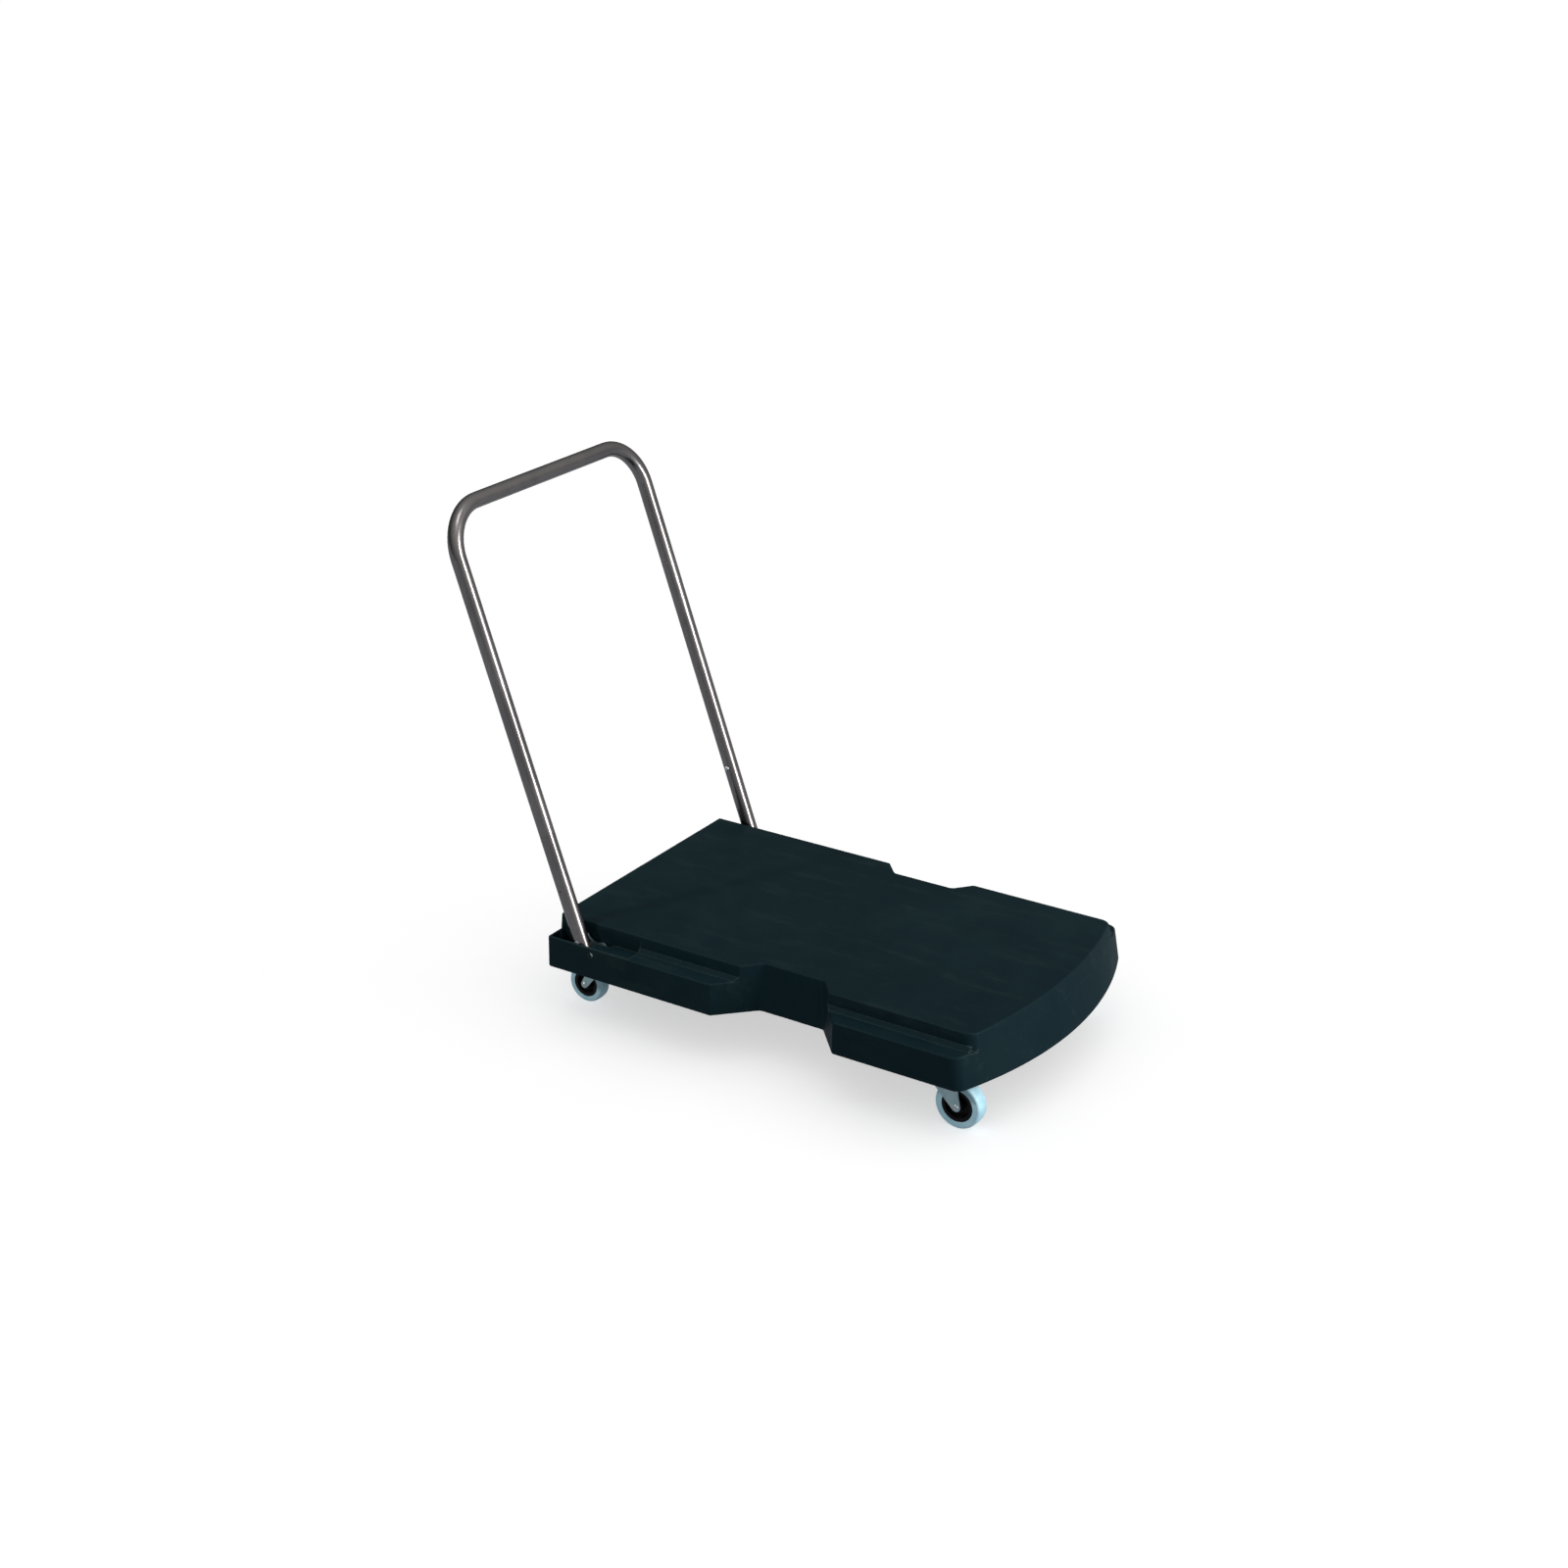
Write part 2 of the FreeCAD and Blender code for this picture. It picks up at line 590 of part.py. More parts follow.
def lower_leg():
    low = V(-PIVOT_OFFSET, LEG_Y, LEG_BOTTOM)
    high = V(-PIVOT_OFFSET, LEG_Y, LEG_SEAM)
    leg = rod(TUBE_RADIUS, low, high).cut(rod(TUBE_RADIUS - LEG_WALL, low, high))
    leg = leg.cut(leg_hole(BUTTON_RADIUS + BUTTON_PLAY, BUTTON_AT, 1))
    drain = V(-PIVOT_OFFSET, LEG_Y, DRAIN_HOLE_AT)
    leg = leg.cut(rod(DRAIN_HOLE_RADIUS, drain, drain + V(0, TUBE_RADIUS + OVERRUN, 0)))
    for along in RIVET_AT:
        middle = V(-PIVOT_OFFSET, LEG_Y, along)
        reach = V(0, TUBE_RADIUS + OVERRUN, 0)
        leg = leg.cut(rod(RIVET_RADIUS + PIN_HOLE_PLAY, middle - reach, middle + reach))
    return leaned(leg)


def pivot_plate():
    """Flat plate on the inboard side of the leg, with its lug on the pin."""
    y = LEG_Y - TUBE_RADIUS - PLATE_THICK
    lug = PLATE_LUG
    corner = PLATE_CORNER

    def at(across, along):
        return V(across, y, along)

    top_front = at(PLATE_FRONT, PLATE_TOP)
    top_rear = at(PLATE_REAR + corner, PLATE_TOP)
    side_top = at(PLATE_REAR, PLATE_TOP - corner)
    side_low = at(PLATE_REAR, LEG_BOTTOM + corner)
    low_rear = at(PLATE_REAR + corner, LEG_BOTTOM)
    low_front = at(PLATE_FRONT, LEG_BOTTOM)
    heel = at(0, -lug)
    crest = at(0, lug)
    neck = at(PLATE_NECK[1], PLATE_NECK[0])
    edges = [
        Part.makeLine(top_front, top_rear),
        Part.makeLine(top_rear, side_top),
        Part.makeLine(side_top, side_low),
        Part.makeLine(side_low, low_rear),
        Part.makeLine(low_rear, low_front),
        Part.makeLine(low_front, heel),
        Part.Arc(heel, at(lug, 0), crest).toShape(),
        Part.Arc(crest, neck, top_front).toShape(),
    ]
    plate = Part.Face(Part.Wire(edges)).extrude(V(0, PLATE_THICK, 0))
    reach = V(0, OVERRUN, 0)
    pin = at(0, 0)
    plate = plate.cut(rod(PIN_RADIUS + PIN_PLAY, pin - reach, pin + reach))
    for along in RIVET_AT:
        hole = at(-PIVOT_OFFSET, along)
        plate = plate.cut(rod(RIVET_RADIUS + PIN_HOLE_PLAY, hole - reach, hole + reach))
    return leaned(plate)


def dome_steps(radius, height, level):
    """Outline points of a shallow domed head standing on level."""
    steps = []
    for share in (1.0, 0.92, 0.76, 0.52, 0.26):
        steps.append((radius * share, level + height * math.sqrt(1 - share * share)))
    return steps + [(0, steps[-1][1])]


def domed_head(radius, height, base, axis):
    return lathe([(0, 0)] + dome_steps(radius, height, 0), base, axis)


def rivet(radius, head_radius, head, near, far):
    """Round rivet between two points, with a domed head beyond each."""
    half = (far - near).Length / 2.0
    upper = [(radius, half)] + dome_steps(head_radius, head, half)
    lower = [(r, -h) for r, h in reversed(upper)]
    return lathe(lower + upper, (near + far) * 0.5, far - near)


def leg_rivets():
    rivets = []
    for along in RIVET_AT:
        near = V(-PIVOT_OFFSET, LEG_Y - TUBE_RADIUS - PLATE_THICK, along)
        far = V(-PIVOT_OFFSET, LEG_Y + TUBE_RADIUS, along)
        rivets.append(leaned(rivet(RIVET_RADIUS, RIVET_HEAD_RADIUS, RIVET_HEAD, near, far)))
    return Part.makeCompound(rivets)


def pivot_pin():
    outer_face = BODY_HALF_WIDTH + BODY_SIDE_DRAFT * (1 - PIVOT_Z / LEDGE_HEIGHT)
    outer = V(PIVOT_X, outer_face - PIN_RECESS, PIVOT_Z)
    inner = V(PIVOT_X, WELL_BLOCK_INNER_Y - PIN_TAIL, PIVOT_Z)
    pin = rod(PIN_RADIUS, inner, outer)
    return pin.makeChamfer(PIN_CHAMFER, pin.Edges)


def pin_clip():
    """Push-on spring clip on the inner end of the pivot pin."""
    inner = PIN_RADIUS + CLIP_PLAY
    lift = CLIP_RISE
    profile = [(inner, 0), (CLIP_RADIUS, lift), (CLIP_RADIUS, lift + CLIP_THICK)]
    profile = profile + [(inner, CLIP_THICK)]
    base = V(PIVOT_X, WELL_BLOCK_INNER_Y - lift - CLIP_THICK, PIVOT_Z)
    return lathe(profile, base, V(0, 1, 0))


def snap_button():
    axis = V(0, -1, 0)
    centre = V(-PIVOT_OFFSET, LEG_Y, BUTTON_AT)
    socket = TUBE_RADIUS - LEG_WALL - SOCKET_PLAY - SOCKET_WALL
    seat = math.sqrt(socket * socket - BUTTON_HEAD_RADIUS * BUTTON_HEAD_RADIUS)
    head_top = centre + axis * (seat - BUTTON_SEAT_GAP)
    head_low = head_top - axis * BUTTON_HEAD
    crown = centre + axis * (TUBE_RADIUS + BUTTON_PROUD - BUTTON_CROWN)
    button = rod(BUTTON_HEAD_RADIUS, head_low, head_top)
    button = button.fuse(rod(BUTTON_RADIUS, head_top, crown))
    button = button.fuse(domed_head(BUTTON_RADIUS, BUTTON_CROWN, crown, axis))
    button = button.fuse(rod(BUTTON_TAIL_RADIUS, head_low - axis * BUTTON_TAIL, head_low))
    return leaned(button)


def snap_spring():
    """Bent leaf spring inside the reduced end of the bow, drawn pressed in."""
    top = BUTTON_AT + SPRING_ABOVE
    low = BUTTON_AT - SPRING_BELOW
    thick = SPRING_THICK
    front_in = LEG_Y - SPRING_FRONT
    front_out = front_in - thick
    back_out = LEG_Y - SPRING_BACK
    back_in = back_out - thick
    x = -PIVOT_OFFSET - SPRING_WIDTH / 2
    outer_r = (back_out - front_out) / 2.0
    inner_r = outer_r - thick
    middle = (back_out + front_out) / 2.0
    edges = [
        Part.makeLine(V(x, front_in, top), V(x, front_out, top)),
        Part.makeLine(V(x, front_out, top), V(x, front_out, low)),
        Part.Arc(V(x, front_out, low), V(x, middle, low - outer_r), V(x, back_out, low)).toShape(),
        Part.makeLine(V(x, back_out, low), V(x, back_out, top)),
        Part.makeLine(V(x, back_out, top), V(x, back_in, top)),
        Part.makeLine(V(x, back_in, top), V(x, back_in, low)),
        Part.Arc(V(x, back_in, low), V(x, middle, low - inner_r), V(x, front_in, low)).toShape(),
        Part.makeLine(V(x, front_in, low), V(x, front_in, top)),
    ]
    spring = Part.Face(Part.Wire(edges)).extrude(V(SPRING_WIDTH, 0, 0))
    near = V(-PIVOT_OFFSET, front_in + thick, BUTTON_AT)
    far = V(-PIVOT_OFFSET, front_out - thick, BUTTON_AT)
    spring = spring.cut(rod(BUTTON_TAIL_RADIUS + SPRING_HOLE_PLAY, near, far))
    return leaned(spring)


# ---- caster pieces ----------------------------------------------------------
# Caster pieces are drawn about the point on the mounting plane above the
# kingpin: x forward, z up, wheel on the +x side.  put_caster() turns and moves
# them into place.
class Caster:
    """Sizes of one caster that depend on its wheel."""

    def __init__(self, radius, width, fork_end, fork_top):
        self.radius = radius
        self.side = width / 2.0
        self.core = radius * CORE_SHARE
        self.gap = self.side + FORK_SIDE_GAP
        self.fork_end = fork_end
        self.top = [SWIVEL_OFFSET + x for x in fork_top]
        self.axle = V(SWIVEL_OFFSET, 0, radius - FLOOR_DROP - PAD_Z)


def mount_plate():
    """Rectangular plate with four screw holes under the mounting plane."""
    half_x = PLATE_HALF_LENGTH
    half_y = PLATE_HALF_WIDTH
    plate = box(-half_x, half_x, -half_y, half_y, -MOUNT_THICK, 0)
    corners = edges_where(plate, lambda e: e.Length < 2 * MOUNT_THICK)
    plate = plate.makeFillet(MOUNT_CORNER, corners)
    for place in screw_places(0, 0):
        low = V(place.x, place.y, -OVERRUN)
        high = V(place.x, place.y, OVERRUN)
        plate = plate.cut(rod(SCREW_RADIUS + SCREW_HOLE_PLAY, low, high))
    return plate


CROWN_TOP = -MOUNT_THICK - CROWN_GAP
CROWN_LOW = CROWN_TOP - FORK_THICK
BALL_HEIGHT = -MOUNT_THICK - CROWN_GAP / 2.0
WASHER_TOP = CROWN_LOW - KINGPIN_PLAY


def ball_groove():
    return Part.makeTorus(BALL_CIRCLE, BALL_RADIUS + BALL_PLAY, V(0, 0, BALL_HEIGHT))


def swivel_plate():
    bore = rod(KINGPIN_RADIUS + PIN_HOLE_PLAY, V(0, 0, -OVERRUN), V(0, 0, OVERRUN))
    return mount_plate().cut(bore).cut(ball_groove())


def fork_leg(caster, y):
    """Side plate: round about the axle, straight edges up to the crown."""
    end = caster.fork_end
    rear, front = caster.top
    centre = caster.axle
    height = CROWN_TOP - centre.z

    def tangent(x, side):
        across = x - centre.x
        turn = math.acos(end / math.hypot(across, height))
        angle = math.atan2(height, across) + side * turn
        return V(centre.x + end * math.cos(angle), y, centre.z + end * math.sin(angle))

    rear_touch = tangent(rear, 1)
    front_touch = tangent(front, -1)
    top_rear = V(rear, y, CROWN_TOP)
    top_front = V(front, y, CROWN_TOP)
    edges = [
        Part.makeLine(top_front, top_rear),
        Part.makeLine(top_rear, rear_touch),
        Part.Arc(rear_touch, V(centre.x, y, centre.z - end), front_touch).toShape(),
        Part.makeLine(front_touch, top_front),
    ]
    leg = Part.Face(Part.Wire(edges)).extrude(V(0, FORK_THICK, 0))
    reach = V(0, OVERRUN, 0)
    middle = V(centre.x, y, centre.z)
    return leg.cut(rod(AXLE_RADIUS + AXLE_HOLE_PLAY, middle - reach, middle + reach))


def swivel_fork(caster):
    outer = caster.gap + FORK_THICK
    crown = box(caster.top[0], caster.top[1], -outer, outer, CROWN_LOW, CROWN_TOP)
    crown = crown.fuse(rod(CROWN_RADIUS, V(0, 0, CROWN_LOW), V(0, 0, CROWN_TOP)))
    legs = [fork_leg(caster, -outer), fork_leg(caster, caster.gap)]
    fork = crown.fuse(legs).removeSplitter()
    bore = rod(KINGPIN_RADIUS + KINGPIN_PLAY, V(0, 0, -OVERRUN), V(0, 0, OVERRUN))
    return fork.cut(bore).cut(ball_groove())


def swivel_balls():
    balls = []
    for i in range(BALL_COUNT):
        angle = 2 * math.pi * i / BALL_COUNT
        x = BALL_CIRCLE * math.cos(angle)
        y = BALL_CIRCLE * math.sin(angle)
        balls.append(Part.makeSphere(BALL_RADIUS, V(x, y, BALL_HEIGHT)))
    return Part.makeCompound(balls)


def thrust_washer():
    high = V(0, 0, WASHER_TOP)
    base = V(0, 0, WASHER_TOP - WASHER_THICK)
    return rod(WASHER_RADIUS, base, high).cut(rod(KINGPIN_RADIUS + KINGPIN_PLAY, base, high))


def kingpin():
    seat = V(0, 0, WASHER_TOP - WASHER_THICK)
    pin = rod(KINGPIN_RADIUS, seat, V(0, 0, 0))
    return pin.fuse(domed_head(KINGPIN_HEAD_RADIUS, KINGPIN_HEAD, seat, V(0, 0, -1)))


def screw_set():
    """Four hexagon head screws through a mounting plate."""
    seat = -MOUNT_THICK
    radius = SCREW_HEAD_FLATS / math.sqrt(3)
    screws = []
    for place in screw_places(0, 0):
        centre = V(place.x, place.y, seat)
        corners = []
        for i in range(6):
            angle = math.radians(60 * i)
            corner = centre + V(math.cos(angle), math.sin(angle), 0) * radius
            corners.append((corner.x, corner.y))
        head = prism_xy(corners, seat - SCREW_HEAD, seat)
        screws.append(head.fuse(rod(SCREW_RADIUS, centre, centre + V(0, 0, SCREW_LENGTH))))
    return Part.makeCompound(screws)


def wheel_core(caster):
    """Black hub with a web and a rim, keyed into the tyre by a middle rib."""
    web = CORE_WEB_HALF
    face = caster.side - CORE_SETBACK
    key = CORE_KEY_HALF
    bore = BUSH_RADIUS + BUSH_PLAY
    hub = caster.side + HUB_PROUD
    inner = caster.core - CORE_RIM
    half = [(bore, hub), (HUB_RADIUS, hub), (HUB_RADIUS + 1, web), (inner - 1, web)]
    half = half + [(inner, face), (caster.core, face), (caster.core, key)]
    half = half + [(caster.core + CORE_KEY, key)]
    other = [(r, -h) for r, h in reversed(half)]
    return lathe(half + other, caster.axle, V(0, 1, 0))


def tyre(caster):
    """Ring with a crowned tread and rounded shoulders."""
    side = caster.side
    core = caster.core
    key = CORE_KEY_HALF
    shoulder = caster.radius - TYRE_CROWN
    edge = shoulder - TYRE_SHOULDER * 0.6
    flat = side - TYRE_SHOULDER

    def at(radius, height):
        return V(radius, 0, height)

    def curve(first, middle, last):
        return Part.Arc(first, middle, last).toShape()

    corner = at(shoulder - TYRE_BULGE, side - TYRE_SHOULDER / 3)
    mirror = at(shoulder - TYRE_BULGE, -side + TYRE_SHOULDER / 3)
    profile = [
        curve(at(edge, side), corner, at(shoulder + TYRE_BULGE, flat)),
        curve(at(shoulder + TYRE_BULGE, flat), at(caster.radius, 0), at(shoulder + TYRE_BULGE, -flat)),
        curve(at(shoulder + TYRE_BULGE, -flat), mirror, at(edge, -side)),
    ]
    inside = [at(edge, -side), at(core, -side), at(core, -key), at(core + CORE_KEY, -key)]
    inside = inside + [at(core + CORE_KEY, key), at(core, key), at(core, side), at(edge, side)]
    wire = Part.Wire(profile + Part.makePolygon(inside).Edges)
    solid = Part.Face(wire).revolve(V(0, 0, 0), V(0, 0, 1), 360)
    turn = FreeCAD.Rotation(V(0, 0, 1), V(0, 1, 0))
    solid.Placement = FreeCAD.Placement(caster.axle, turn)
    return solid


def wheel_bush(caster):
    hub = V(0, caster.side + HUB_PROUD, 0)
    low = caster.axle - hub
    high = caster.axle + hub
    return rod(BUSH_RADIUS, low, high).cut(rod(AXLE_RADIUS + AXLE_PLAY, low, high))


def axle(caster):
    out = V(0, caster.gap + FORK_THICK, 0)
    near = caster.axle - out
    far = caster.axle + out
    return rivet(AXLE_RADIUS, AXLE_HEAD_RADIUS, AXLE_HEAD, near, far)


# ---- all pieces in the shared frame -----------------------------------------
def put(name, shape, place=V(0, 0, 0)):
    moved = shape.copy()
    moved.translate(place + SHIFT)
    moved.exportStep("parts/" + name + ".step")


def put_pair(name, shape):
    put(name + "_left", shape)
    put(name + "_right", mirror_y(shape))


def put_caster(corner, caster, place, turn):
    """Writes the ten pieces of one caster, turned about its kingpin."""
    pieces = {
        "wheel_core": wheel_core(caster),
        "tyre": tyre(caster),
        "wheel_bush": wheel_bush(caster),
        "axle": axle(caster),
        "swivel_fork": swivel_fork(caster),
        "swivel_plate": swivel_plate(),
        "swivel_balls": swivel_balls(),
        "thrust_washer": thrust_washer(),
        "kingpin": kingpin(),
        "caster_screws": screw_set(),
    }
    for name, shape in pieces.items():
        shape.rotate(V(0, 0, 0), V(0, 0, 1), turn)
        put(name + "_" + corner, shape, place)


def main():
    os.makedirs("parts", exist_ok=True)
    put("platform", platform())
    put("handle_bow", handle_bow())
    put_pair("lower_leg", lower_leg())
    put_pair("pivot_plate", pivot_plate())
    put_pair("leg_rivets", leg_rivets())
    put_pair("pivot_pin", pivot_pin())
    put_pair("pin_clip", pin_clip())
    put_pair("snap_button", snap_button())
    put_pair("snap_spring", snap_spring())

    front = Caster(FRONT_WHEEL_RADIUS, FRONT_WHEEL_WIDTH, FRONT_FORK_END, FRONT_FORK_TOP)
    rear = Caster(REAR_WHEEL_RADIUS, REAR_WHEEL_WIDTH, REAR_FORK_END, REAR_FORK_TOP)
    front_x = FRONT_AXLE_X - SWIVEL_OFFSET
    rear_x = REAR_AXLE_X + SWIVEL_OFFSET
    put_caster("front_left", front, V(front_x, FRONT_WHEEL_Y, PAD_Z), WHEEL_BEHIND)
    put_caster("front_right", front, V(front_x, -FRONT_WHEEL_Y, PAD_Z), WHEEL_AHEAD)
    put_caster("rear_left", rear, V(rear_x, REAR_WHEEL_Y, PAD_Z), WHEEL_BEHIND)
    put_caster("rear_right", rear, V(rear_x, -REAR_WHEEL_Y, PAD_Z), WHEEL_BEHIND)


main()
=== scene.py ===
import bpy
import json
import math
from mathutils import Matrix, Vector


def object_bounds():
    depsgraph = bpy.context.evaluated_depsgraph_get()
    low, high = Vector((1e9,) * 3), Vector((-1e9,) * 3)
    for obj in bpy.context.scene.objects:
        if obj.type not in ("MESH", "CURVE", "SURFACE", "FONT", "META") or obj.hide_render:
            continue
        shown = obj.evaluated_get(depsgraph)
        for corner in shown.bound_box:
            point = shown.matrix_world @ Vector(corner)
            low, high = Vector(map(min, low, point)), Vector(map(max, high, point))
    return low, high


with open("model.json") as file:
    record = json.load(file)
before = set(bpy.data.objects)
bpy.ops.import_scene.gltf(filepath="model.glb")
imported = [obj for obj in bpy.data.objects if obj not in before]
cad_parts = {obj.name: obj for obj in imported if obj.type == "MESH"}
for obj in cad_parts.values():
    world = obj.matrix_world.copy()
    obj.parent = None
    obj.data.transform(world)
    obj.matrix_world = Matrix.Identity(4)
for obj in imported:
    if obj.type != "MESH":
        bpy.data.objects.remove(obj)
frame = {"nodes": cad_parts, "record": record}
cad_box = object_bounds()
nodes = frame["nodes"]

# An edge is where the rounded normal leaves the face normal: the dot product of
# the two falls from EDGE_FLAT on an open face towards EDGE_SHARP on an edge.
EDGE_SAMPLES = 6
EDGE_SHARP = 0.86
EDGE_FLAT = 0.995

SENSOR_WIDTH_MM = 36.0
VIEW_DEPTH = 100.0
FLOOR_HALF = 30.0

# the surround is brightest towards one side and above, and falls off all round
SKY_AZIMUTH, SKY_ELEVATION = 92.0, 62.0
SKY_DIM, SKY_BRIGHT = 0.10, 0.76
AIM_HEIGHT = 0.35  # where the softbox aims, as a share of the trolley's height


# ---- materials --------------------------------------------------------------
class Shader:
    """A node material under construction, with short calls for common steps."""

    def __init__(self, name):
        self.material = bpy.data.materials.new(name)
        self.material.use_nodes = True
        self.tree = self.material.node_tree
        self.tree.nodes.clear()
        self.output = self.add("ShaderNodeOutputMaterial")
        self.principled = self.add("ShaderNodeBsdfPrincipled")
        self.link(self.principled.outputs["BSDF"], self.output.inputs["Surface"])
        self.coordinates = self.add("ShaderNodeTexCoord").outputs["Object"]

    def add(self, kind):
        return self.tree.nodes.new(kind)

    def link(self, source, target):
        self.tree.links.new(source, target)

    def set(self, **values):
        for key, value in values.items():
            self.principled.inputs[key.replace("_", " ")].default_value = value

    def feed(self, source, name):
        self.link(source, self.principled.inputs[name])

    def stretched(self, scale):
        mapping = self.add("ShaderNodeMapping")
        mapping.inputs["Scale"].default_value = scale
        self.link(self.coordinates, mapping.inputs["Vector"])
        return mapping.outputs["Vector"]

    def noise(self, scale, detail=4.0, roughness=0.55, vector=None):
        node = self.add("ShaderNodeTexNoise")
        node.inputs["Scale"].default_value = scale
        node.inputs["Detail"].default_value = detail
        node.inputs["Roughness"].default_value = roughness
        self.link(vector or self.coordinates, node.inputs["Vector"])
        return node.outputs["Fac"]

    def ramp(self, source, low, high, start=0.35, end=0.65):
        """Remaps a factor to the range low..high."""
        node = self.add("ShaderNodeMapRange")
        node.inputs["From Min"].default_value = start
        node.inputs["From Max"].default_value = end
        node.inputs["To Min"].default_value = low
        node.inputs["To Max"].default_value = high
        self.link(source, node.inputs["Value"])
        return node.outputs["Result"]

    def mix(self, factor, first, second):
        node = self.add("ShaderNodeMix")
        node.data_type = "RGBA"
        self.link(factor, node.inputs["Factor"])
        for value, socket in ((first, node.inputs["A"]), (second, node.inputs["B"])):
            if isinstance(value, tuple):
                socket.default_value = value + (1.0,)
            else:
                self.link(value, socket)
        return node.outputs["Result"]

    def math(self, operation, first, second):
        node = self.add("ShaderNodeMath")
        node.operation = operation
        for value, socket in zip((first, second), node.inputs):
            if isinstance(value, (int, float)):
                socket.default_value = value
            else:
                self.link(value, socket)
        return node.outputs["Value"]

    def bump(self, height, distance, strength=1.0, normal=None):
        node = self.add("ShaderNodeBump")
        node.inputs["Strength"].default_value = strength
        node.inputs["Distance"].default_value = distance
        self.link(height, node.inputs["Height"])
        if normal is not None:
            self.link(normal, node.inputs["Normal"])
        return node.outputs["Normal"]

    def edge_mask(self, radius):
        """1 on convex and concave edges, 0 on open faces."""
        bevel = self.add("ShaderNodeBevel")
        bevel.samples = EDGE_SAMPLES
        bevel.inputs["Radius"].default_value = radius
        geometry = self.add("ShaderNodeNewGeometry")
        dot = self.add("ShaderNodeVectorMath")
        dot.operation = "DOT_PRODUCT"
        self.link(bevel.outputs["Normal"], dot.inputs[0])
        self.link(geometry.outputs["Normal"], dot.inputs[1])
        return self.ramp(dot.outputs["Value"], 1.0, 0.0, EDGE_SHARP, EDGE_FLAT)


def platform_plastic():
    s = Shader("platform_plastic")
    broad = s.noise(scale=3.2, detail=3.0, roughness=0.5)
    cloudy = s.noise(scale=14.0, detail=5.0, roughness=0.6)
    fine = s.noise(scale=900.0, detail=2.0, roughness=0.5)
    grain = s.noise(scale=240.0, detail=3.0, roughness=0.6)
    drawn_out = s.stretched((0.35, 1.6, 1.0))
    scuffs = s.noise(scale=26.0, detail=6.0, roughness=0.7, vector=drawn_out)
    base = s.mix(s.ramp(cloudy, 0.0, 1.0), (0.0030, 0.0110, 0.0146), (0.0058, 0.0156, 0.0180))
    base = s.mix(s.ramp(broad, 0.0, 0.7), base, (0.0026, 0.0088, 0.0122))
    base = s.mix(s.ramp(scuffs, 0.0, 0.6, 0.54, 0.72), base, (0.0105, 0.0200, 0.0215))
    worn = s.math("MULTIPLY", s.edge_mask(0.0026), s.ramp(grain, 0.35, 0.85))
    base = s.mix(worn, base, (0.046, 0.066, 0.068))
    s.feed(base, "Base Color")
    roughness = s.math("ADD", s.ramp(cloudy, 0.40, 0.54), s.ramp(grain, -0.03, 0.05))
    s.feed(roughness, "Roughness")
    s.set(Specular_IOR_Level=0.05, Specular_Tint=(0.6, 0.9, 0.92, 1.0))
    ripple = s.bump(broad, distance=0.004, strength=0.5)
    ripple = s.bump(cloudy, distance=0.0008, strength=0.35, normal=ripple)
    height = s.math("ADD", grain, fine)
    s.feed(s.bump(height, distance=0.00012, strength=0.5, normal=ripple), "Normal")
    return s.material


def drawn_tube():
    s = Shader("zinc_tube")
    lengthwise = s.stretched((1.0, 1.0, 0.06))
    draw_lines = s.noise(scale=420.0, detail=3.0, roughness=0.6, vector=lengthwise)
    patches = s.noise(scale=9.0, detail=4.0, roughness=0.6)
    fine = s.noise(scale=1300.0, detail=2.0, roughness=0.5)
    base = s.mix(s.ramp(patches, 0.0, 1.0), (0.205, 0.190, 0.190), (0.270, 0.250, 0.248))
    base = s.mix(s.ramp(draw_lines, 0.0, 0.4), base, (0.165, 0.155, 0.158))
    s.feed(base, "Base Color")
    roughness = s.math("ADD", s.ramp(patches, 0.20, 0.28), s.ramp(draw_lines, -0.02, 0.05))
    s.feed(roughness, "Roughness")
    s.set(Metallic=1.0)
    height = s.math("ADD", draw_lines, s.math("MULTIPLY", fine, 0.4))
    s.feed(s.bump(height, distance=0.00004, strength=0.4), "Normal")
    return s.material


def zinc_plate(name, light, dark, rough_low, rough_high):
    """Zinc plated pressed steel: faint spangle, soft grain, rubbed edges."""
    s = Shader(name)
    spangle = s.add("ShaderNodeTexVoronoi")
    spangle.inputs["Scale"].default_value = 330.0
    s.link(s.coordinates, spangle.inputs["Vector"])
    cells = spangle.outputs["Distance"]
    patches = s.noise(scale=38.0, detail=4.0, roughness=0.6)
    fine = s.noise(scale=1500.0, detail=2.0, roughness=0.5)
    base = s.mix(s.ramp(patches, 0.0, 1.0), dark, light)
    base = s.mix(s.math("MULTIPLY", s.edge_mask(0.0008), 0.6), base, (0.62, 0.65, 0.67))
    s.feed(base, "Base Color")
    varied = s.ramp(patches, rough_low, rough_high)
    roughness = s.math("ADD", varied, s.ramp(cells, 0.0, 0.05, start=0.0, end=0.6))
    s.feed(roughness, "Roughness")
    s.set(Metallic=1.0)
    height = s.math("ADD", fine, s.math("MULTIPLY", cells, 0.6))
    s.feed(s.bump(height, distance=0.00005, strength=0.35), "Normal")
    return s.material


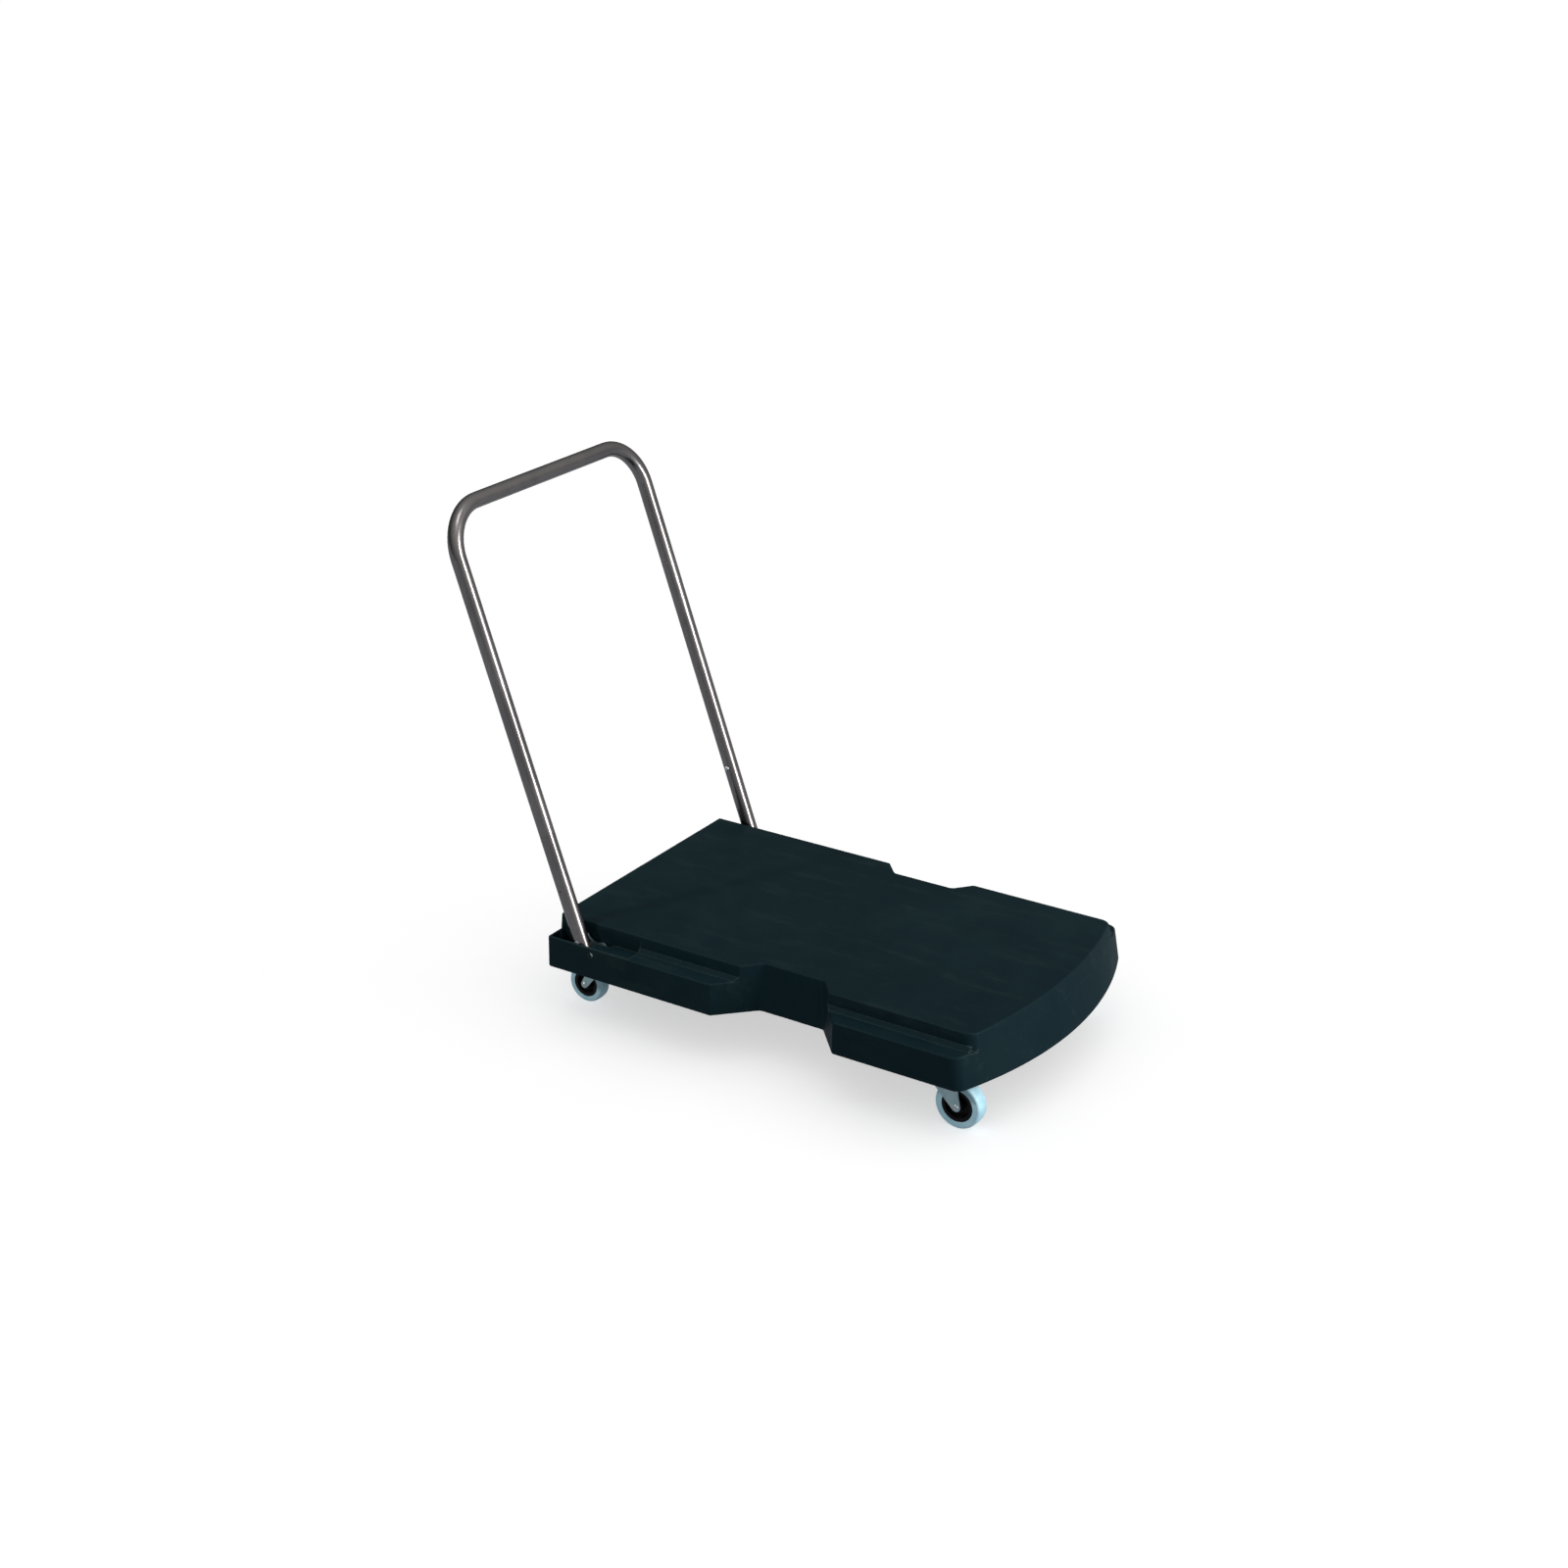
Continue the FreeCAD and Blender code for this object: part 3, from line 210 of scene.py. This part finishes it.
def moulded(name, base_dark, base_light, rough, specular, grain_scale, grain_depth):
    """Plain moulded plastic or rubber with mottling and a fine grain."""
    s = Shader(name)
    mottled = s.noise(scale=60.0, detail=4.0, roughness=0.6)
    grain = s.noise(scale=grain_scale, detail=3.0, roughness=0.55)
    base = s.mix(s.ramp(mottled, 0.0, 1.0), base_dark, base_light)
    dirt = s.noise(scale=95.0, detail=5.0, roughness=0.7)
    lift = tuple(0.72 * v + 0.01 for v in base_dark)
    base = s.mix(s.ramp(dirt, 0.0, 0.45, 0.55, 0.75), base, lift)
    s.feed(base, "Base Color")
    varied = s.ramp(mottled, rough - 0.06, rough + 0.06)
    s.feed(s.math("ADD", varied, s.ramp(grain, -0.03, 0.03)), "Roughness")
    s.set(Specular_IOR_Level=specular)
    waves = s.bump(mottled, distance=grain_depth * 3, strength=0.3)
    s.feed(s.bump(grain, distance=grain_depth, strength=0.5, normal=waves), "Normal")
    return s.material


finishes = {
    "platform_plastic": platform_plastic(),
    "zinc_tube": drawn_tube(),
    "zinc_steel": zinc_plate(
        "zinc_steel", light=(0.46, 0.60, 0.63), dark=(0.32, 0.46, 0.50),
        rough_low=0.28, rough_high=0.42),
    "bright_steel": zinc_plate(
        "bright_steel", light=(0.56, 0.60, 0.62), dark=(0.44, 0.48, 0.50),
        rough_low=0.22, rough_high=0.34),
    "spring_steel": zinc_plate(
        "spring_steel", light=(0.20, 0.20, 0.22), dark=(0.12, 0.12, 0.14),
        rough_low=0.30, rough_high=0.45),
    "ball_steel": zinc_plate(
        "ball_steel", light=(0.66, 0.67, 0.70), dark=(0.56, 0.57, 0.60),
        rough_low=0.08, rough_high=0.14),
    "black_core": moulded(
        "black_core", base_dark=(0.0022, 0.0019, 0.0026), base_light=(0.0042, 0.0036, 0.0046),
        rough=0.42, specular=0.12, grain_scale=700.0, grain_depth=0.0001),
    "grey_tyre": moulded(
        "grey_tyre", base_dark=(0.26, 0.44, 0.52), base_light=(0.35, 0.54, 0.61),
        rough=0.45, specular=0.4, grain_scale=800.0, grain_depth=0.0001),
    "white_nylon": moulded(
        "white_nylon", base_dark=(0.62, 0.61, 0.56), base_light=(0.74, 0.73, 0.68),
        rough=0.40, specular=0.4, grain_scale=900.0, grain_depth=0.00005),
}
slot_of = {entry["node"]: entry["material_slot"] for entry in frame["record"]["subparts"]}
for name, item in nodes.items():
    item.data.materials.clear()
    item.data.materials.append(finishes[slot_of[name]])


# ---- stage ------------------------------------------------------------------
def floor():
    """Pale floor, white to the camera and duller in what it throws back up."""
    half = FLOOR_HALF
    corners = [(-half, -half, 0), (half, -half, 0), (half, half, 0), (-half, half, 0)]
    mesh = bpy.data.meshes.new("studio_floor")
    mesh.from_pydata(corners, [], [(0, 1, 2, 3)])
    item = bpy.data.objects.new("studio_floor", mesh)
    bpy.context.scene.collection.objects.link(item)
    s = Shader("studio_floor")
    speck = s.noise(scale=1.5, detail=2.0, roughness=0.5)
    seen = s.mix(s.ramp(speck, 0.0, 1.0), (0.90, 0.90, 0.90), (0.92, 0.92, 0.92))
    path = s.add("ShaderNodeLightPath").outputs["Is Camera Ray"]
    s.feed(s.mix(path, (0.34, 0.36, 0.38), seen), "Base Color")
    s.set(Roughness=0.9, Specular_IOR_Level=0.0)
    mesh.materials.append(s.material)
    return item


def direction(azimuth, elevation):
    a, e = math.radians(azimuth), math.radians(elevation)
    return Vector((math.sin(a) * math.cos(e), -math.cos(a) * math.cos(e), math.sin(e)))


def limit_light(lamp, items, state):
    """Makes a lamp light only the items, or everything but the items."""
    group = bpy.data.collections.new(lamp.name + "_receivers")
    lamp.light_linking.receiver_collection = group
    for item in items:
        group.objects.link(item)
    for entry in group.collection_objects:
        entry.light_linking.link_state = state


def hang(name, kind, azimuth, elevation, place=Vector((0, 0, 0))):
    """A lamp that shines from the given direction."""
    data = bpy.data.lights.new(name, kind)
    lamp = bpy.data.objects.new(name, data)
    bpy.context.scene.collection.objects.link(lamp)
    toward = direction(azimuth, elevation)
    lamp.location = place
    lamp.rotation_euler = toward.to_track_quat("Z", "Y").to_euler()
    return lamp


def sun(name, azimuth, elevation, strength, spread):
    lamp = hang(name, "SUN", azimuth, elevation)
    lamp.data.energy = strength
    lamp.data.angle = math.radians(spread)
    return lamp


def softbox(name, azimuth, elevation, distance, width, height, watts, aim):
    place = aim + direction(azimuth, elevation) * distance
    lamp = hang(name, "AREA", azimuth, elevation, place)
    lamp.data.shape = "RECTANGLE"
    lamp.data.size = width
    lamp.data.size_y = height
    lamp.data.energy = watts
    return lamp


def studio_sky():
    """Soft surround that falls off behind the trolley, plain white to the camera."""
    world = bpy.data.worlds.new("studio")
    bpy.context.scene.world = world
    world.use_nodes = True
    tree = world.node_tree
    tree.nodes.clear()
    output = tree.nodes.new("ShaderNodeOutputWorld")
    background = tree.nodes.new("ShaderNodeBackground")
    coordinates = tree.nodes.new("ShaderNodeTexCoord")
    dot = tree.nodes.new("ShaderNodeVectorMath")
    dot.operation = "DOT_PRODUCT"
    dot.inputs[1].default_value = direction(SKY_AZIMUTH, SKY_ELEVATION)
    spread = tree.nodes.new("ShaderNodeMapRange")
    spread.inputs["From Min"].default_value = 0.0
    spread.inputs["From Max"].default_value = 1.0
    spread.inputs["To Min"].default_value = SKY_DIM
    spread.inputs["To Max"].default_value = SKY_BRIGHT
    path = tree.nodes.new("ShaderNodeLightPath")
    strength = tree.nodes.new("ShaderNodeMix")
    strength.inputs["B"].default_value = 1.0
    tree.links.new(coordinates.outputs["Generated"], dot.inputs[0])
    tree.links.new(dot.outputs["Value"], spread.inputs["Value"])
    tree.links.new(path.outputs["Is Camera Ray"], strength.inputs["Factor"])
    tree.links.new(spread.outputs["Result"], strength.inputs["A"])
    tree.links.new(strength.outputs["Result"], background.inputs["Strength"])
    background.inputs["Color"].default_value = (1.0, 1.0, 1.0, 1.0)
    tree.links.new(background.outputs["Background"], output.inputs["Surface"])


ground = floor()
studio_sky()
low, high = cad_box
middle = Vector(((low[0] + high[0]) / 2, (low[1] + high[1]) / 2, AIM_HEIGHT * high[2]))
tubes = [nodes["handle_bow"], nodes["lower_leg_left"], nodes["lower_leg_right"]]
key = sun("key", azimuth=-39.0, elevation=36.0, strength=1.35, spread=5.0)
limit_light(key, [ground] + tubes, "EXCLUDE")
top = sun("top", azimuth=70.0, elevation=72.0, strength=0.5, spread=25.0)
limit_light(top, [ground], "EXCLUDE")
strip = softbox("strip", azimuth=93.0, elevation=18.0, distance=3.6, width=0.5, height=2.6,
                watts=150.0, aim=middle)
limit_light(strip, [ground], "EXCLUDE")
backlight = sun("floor_light", azimuth=0.0, elevation=80.0, strength=2.0, spread=20.0)
backlight.data.use_shadow = False
limit_light(backlight, [ground], "INCLUDE")
bpy.context.scene.view_settings.view_transform = "Standard"


# ---- camera -----------------------------------------------------------------
def camera(azimuth, elevation, roll, focal, place):
    data = bpy.data.cameras.new("camera")
    data.lens = focal
    data.sensor_width = SENSOR_WIDTH_MM
    data.clip_end = VIEW_DEPTH
    item = bpy.data.objects.new("camera", data)
    bpy.context.scene.collection.objects.link(item)
    back = direction(azimuth, elevation)
    a, r = math.radians(azimuth), math.radians(roll)
    level = Vector((math.cos(a), math.sin(a), 0.0))
    rise = back.cross(level)
    right = level * math.cos(r) + rise * math.sin(r)
    up = rise * math.cos(r) - level * math.sin(r)
    turn = Matrix((right, up, back)).transposed().to_4x4()
    item.matrix_world = Matrix.Translation(place) @ turn
    bpy.context.scene.camera = item


camera(azimuth=33.081, elevation=23.106, roll=-0.145, focal=59.50,
       place=Vector((2.02731, -3.15185, 1.97511)))
